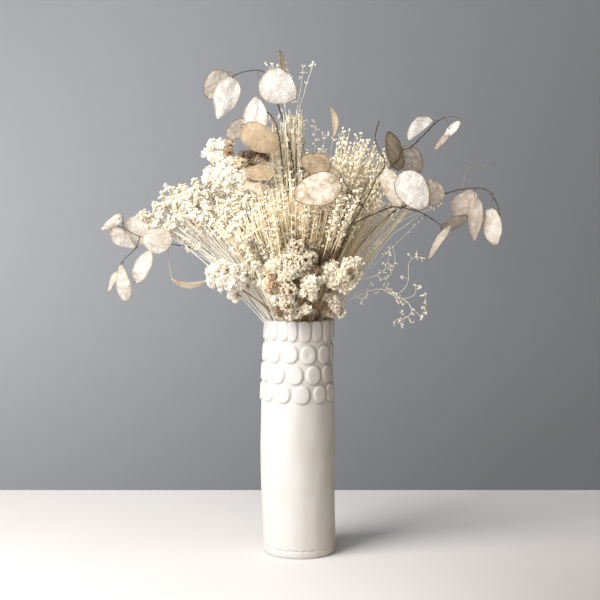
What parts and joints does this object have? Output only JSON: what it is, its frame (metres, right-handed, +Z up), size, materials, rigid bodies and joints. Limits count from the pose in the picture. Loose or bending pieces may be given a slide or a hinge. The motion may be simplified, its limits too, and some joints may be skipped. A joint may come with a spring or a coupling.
{
  "type": "dried flowers in vase",
  "caption": "Bouquet of dried flowers in a tall cylindrical ceramic vase: papery seed discs, fine sprays and creamy corymbs over a neck of thumb-pressed relief.",
  "frame": {"origin": "centre of the vase's foot, on the surface that it stands on", "axes": "+Z up along the vase, +X to the viewer's right, -Y towards the viewer, as the arrangement's front is seen"},
  "size_m": [0.4369, 0.2175, 0.5556],
  "materials": {
    "ceramic": "matte off-white",
    "pods": "papery, pearly",
    "florets": "dry, cream",
    "stems": "dry, dark brown",
    "statice": "dry, cream",
    "broom": "dry, straw",
    "straw": "dry, pale straw"
  },
  "bodies": {
    "root": {"vase": "ceramic", "honesty_top_left": "pods", "honesty_left_centre": "pods", "honesty_front_right": "pods", "honesty_upper_right": "pods", "honesty_far_right": "pods", "honesty_left": "pods", "honesty_back": "pods", "yarrow_left_head_a": "florets", "yarrow_left_stem": "stems", "yarrow_front_head_a": "florets", "yarrow_front_head_b": "florets", "yarrow_front_head_c": "florets", "yarrow_front_head_d": "florets", "yarrow_front_stem": "stems", "yarrow_right_head_a": "florets", "yarrow_right_head_b": "florets", "yarrow_right_head_c": "florets", "yarrow_right_stem": "stems", "yarrow_upper_left_head_a": "florets", "yarrow_upper_left_head_b": "florets", "yarrow_upper_left_head_c": "florets", "yarrow_upper_left_stem": "stems", "yarrow_back_head_a": "florets", "yarrow_back_head_b": "florets", "yarrow_back_head_c": "florets", "yarrow_back_stem": "stems", "statice_far_left": "statice", "statice_left_front": "statice", "statice_left_back": "statice", "statice_left_upper": "statice", "statice_crown_left": "statice", "statice_centre_left": "statice", "statice_centre_front": "statice", "statice_centre": "statice", "statice_back_left": "statice", "statice_back": "statice", "broom_crown_right": "broom", "broom_upper_right": "broom", "broom_front_right": "broom", "broom_right": "broom", "broom_far_right": "broom", "broom_right_back": "broom", "broom_back": "broom", "broom_crown_back": "broom", "straw_tall": "straw", "flax_tall": "straw", "wisp_upper_right": "straw", "wisp_lower_right": "straw"}
  },
  "joints": []
}
